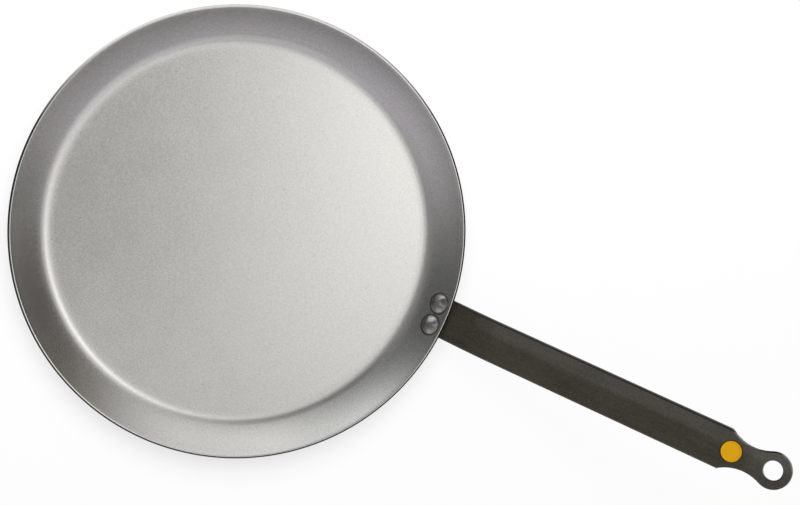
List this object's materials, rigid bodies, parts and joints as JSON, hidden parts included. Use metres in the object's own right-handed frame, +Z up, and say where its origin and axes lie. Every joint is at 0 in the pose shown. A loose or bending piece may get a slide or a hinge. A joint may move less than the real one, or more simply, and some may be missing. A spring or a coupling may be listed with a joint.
{
  "type": "crepe pan",
  "caption": "Shallow round steel crepe pan with a low flared wall, a long riveted strip handle ending in a hanging eye, and a round pull-out plug near its end.",
  "frame": {"origin": "centre of the pan's flat underside, on the surface that it stands on", "axes": "+Z up out of the pan, +X along the handle towards its hanging eye, +Y to the left of the handle seen from its end"},
  "size_m": [0.5138, 0.2996, 0.1459],
  "materials": {
    "carbon_steel": "satin, uncoated sheet",
    "handle_coating": "satin dark coating on steel",
    "rivet_steel": "hammered, darkened steel",
    "badge_silicone": "smooth yellow silicone"
  },
  "bodies": {
    "pan": {"pan_body": "carbon_steel", "handle": "handle_coating", "left_rivet": "rivet_steel", "right_rivet": "rivet_steel"},
    "badge_plug": {"badge_plug": "badge_silicone"}
  },
  "joints": [
    {"name": "badge_plug_pull", "type": "slide", "parent": "pan", "child": "badge_plug", "axis": [-0.4894, 0, 0.8721], "range_m": [0, 0.012]}
  ]
}
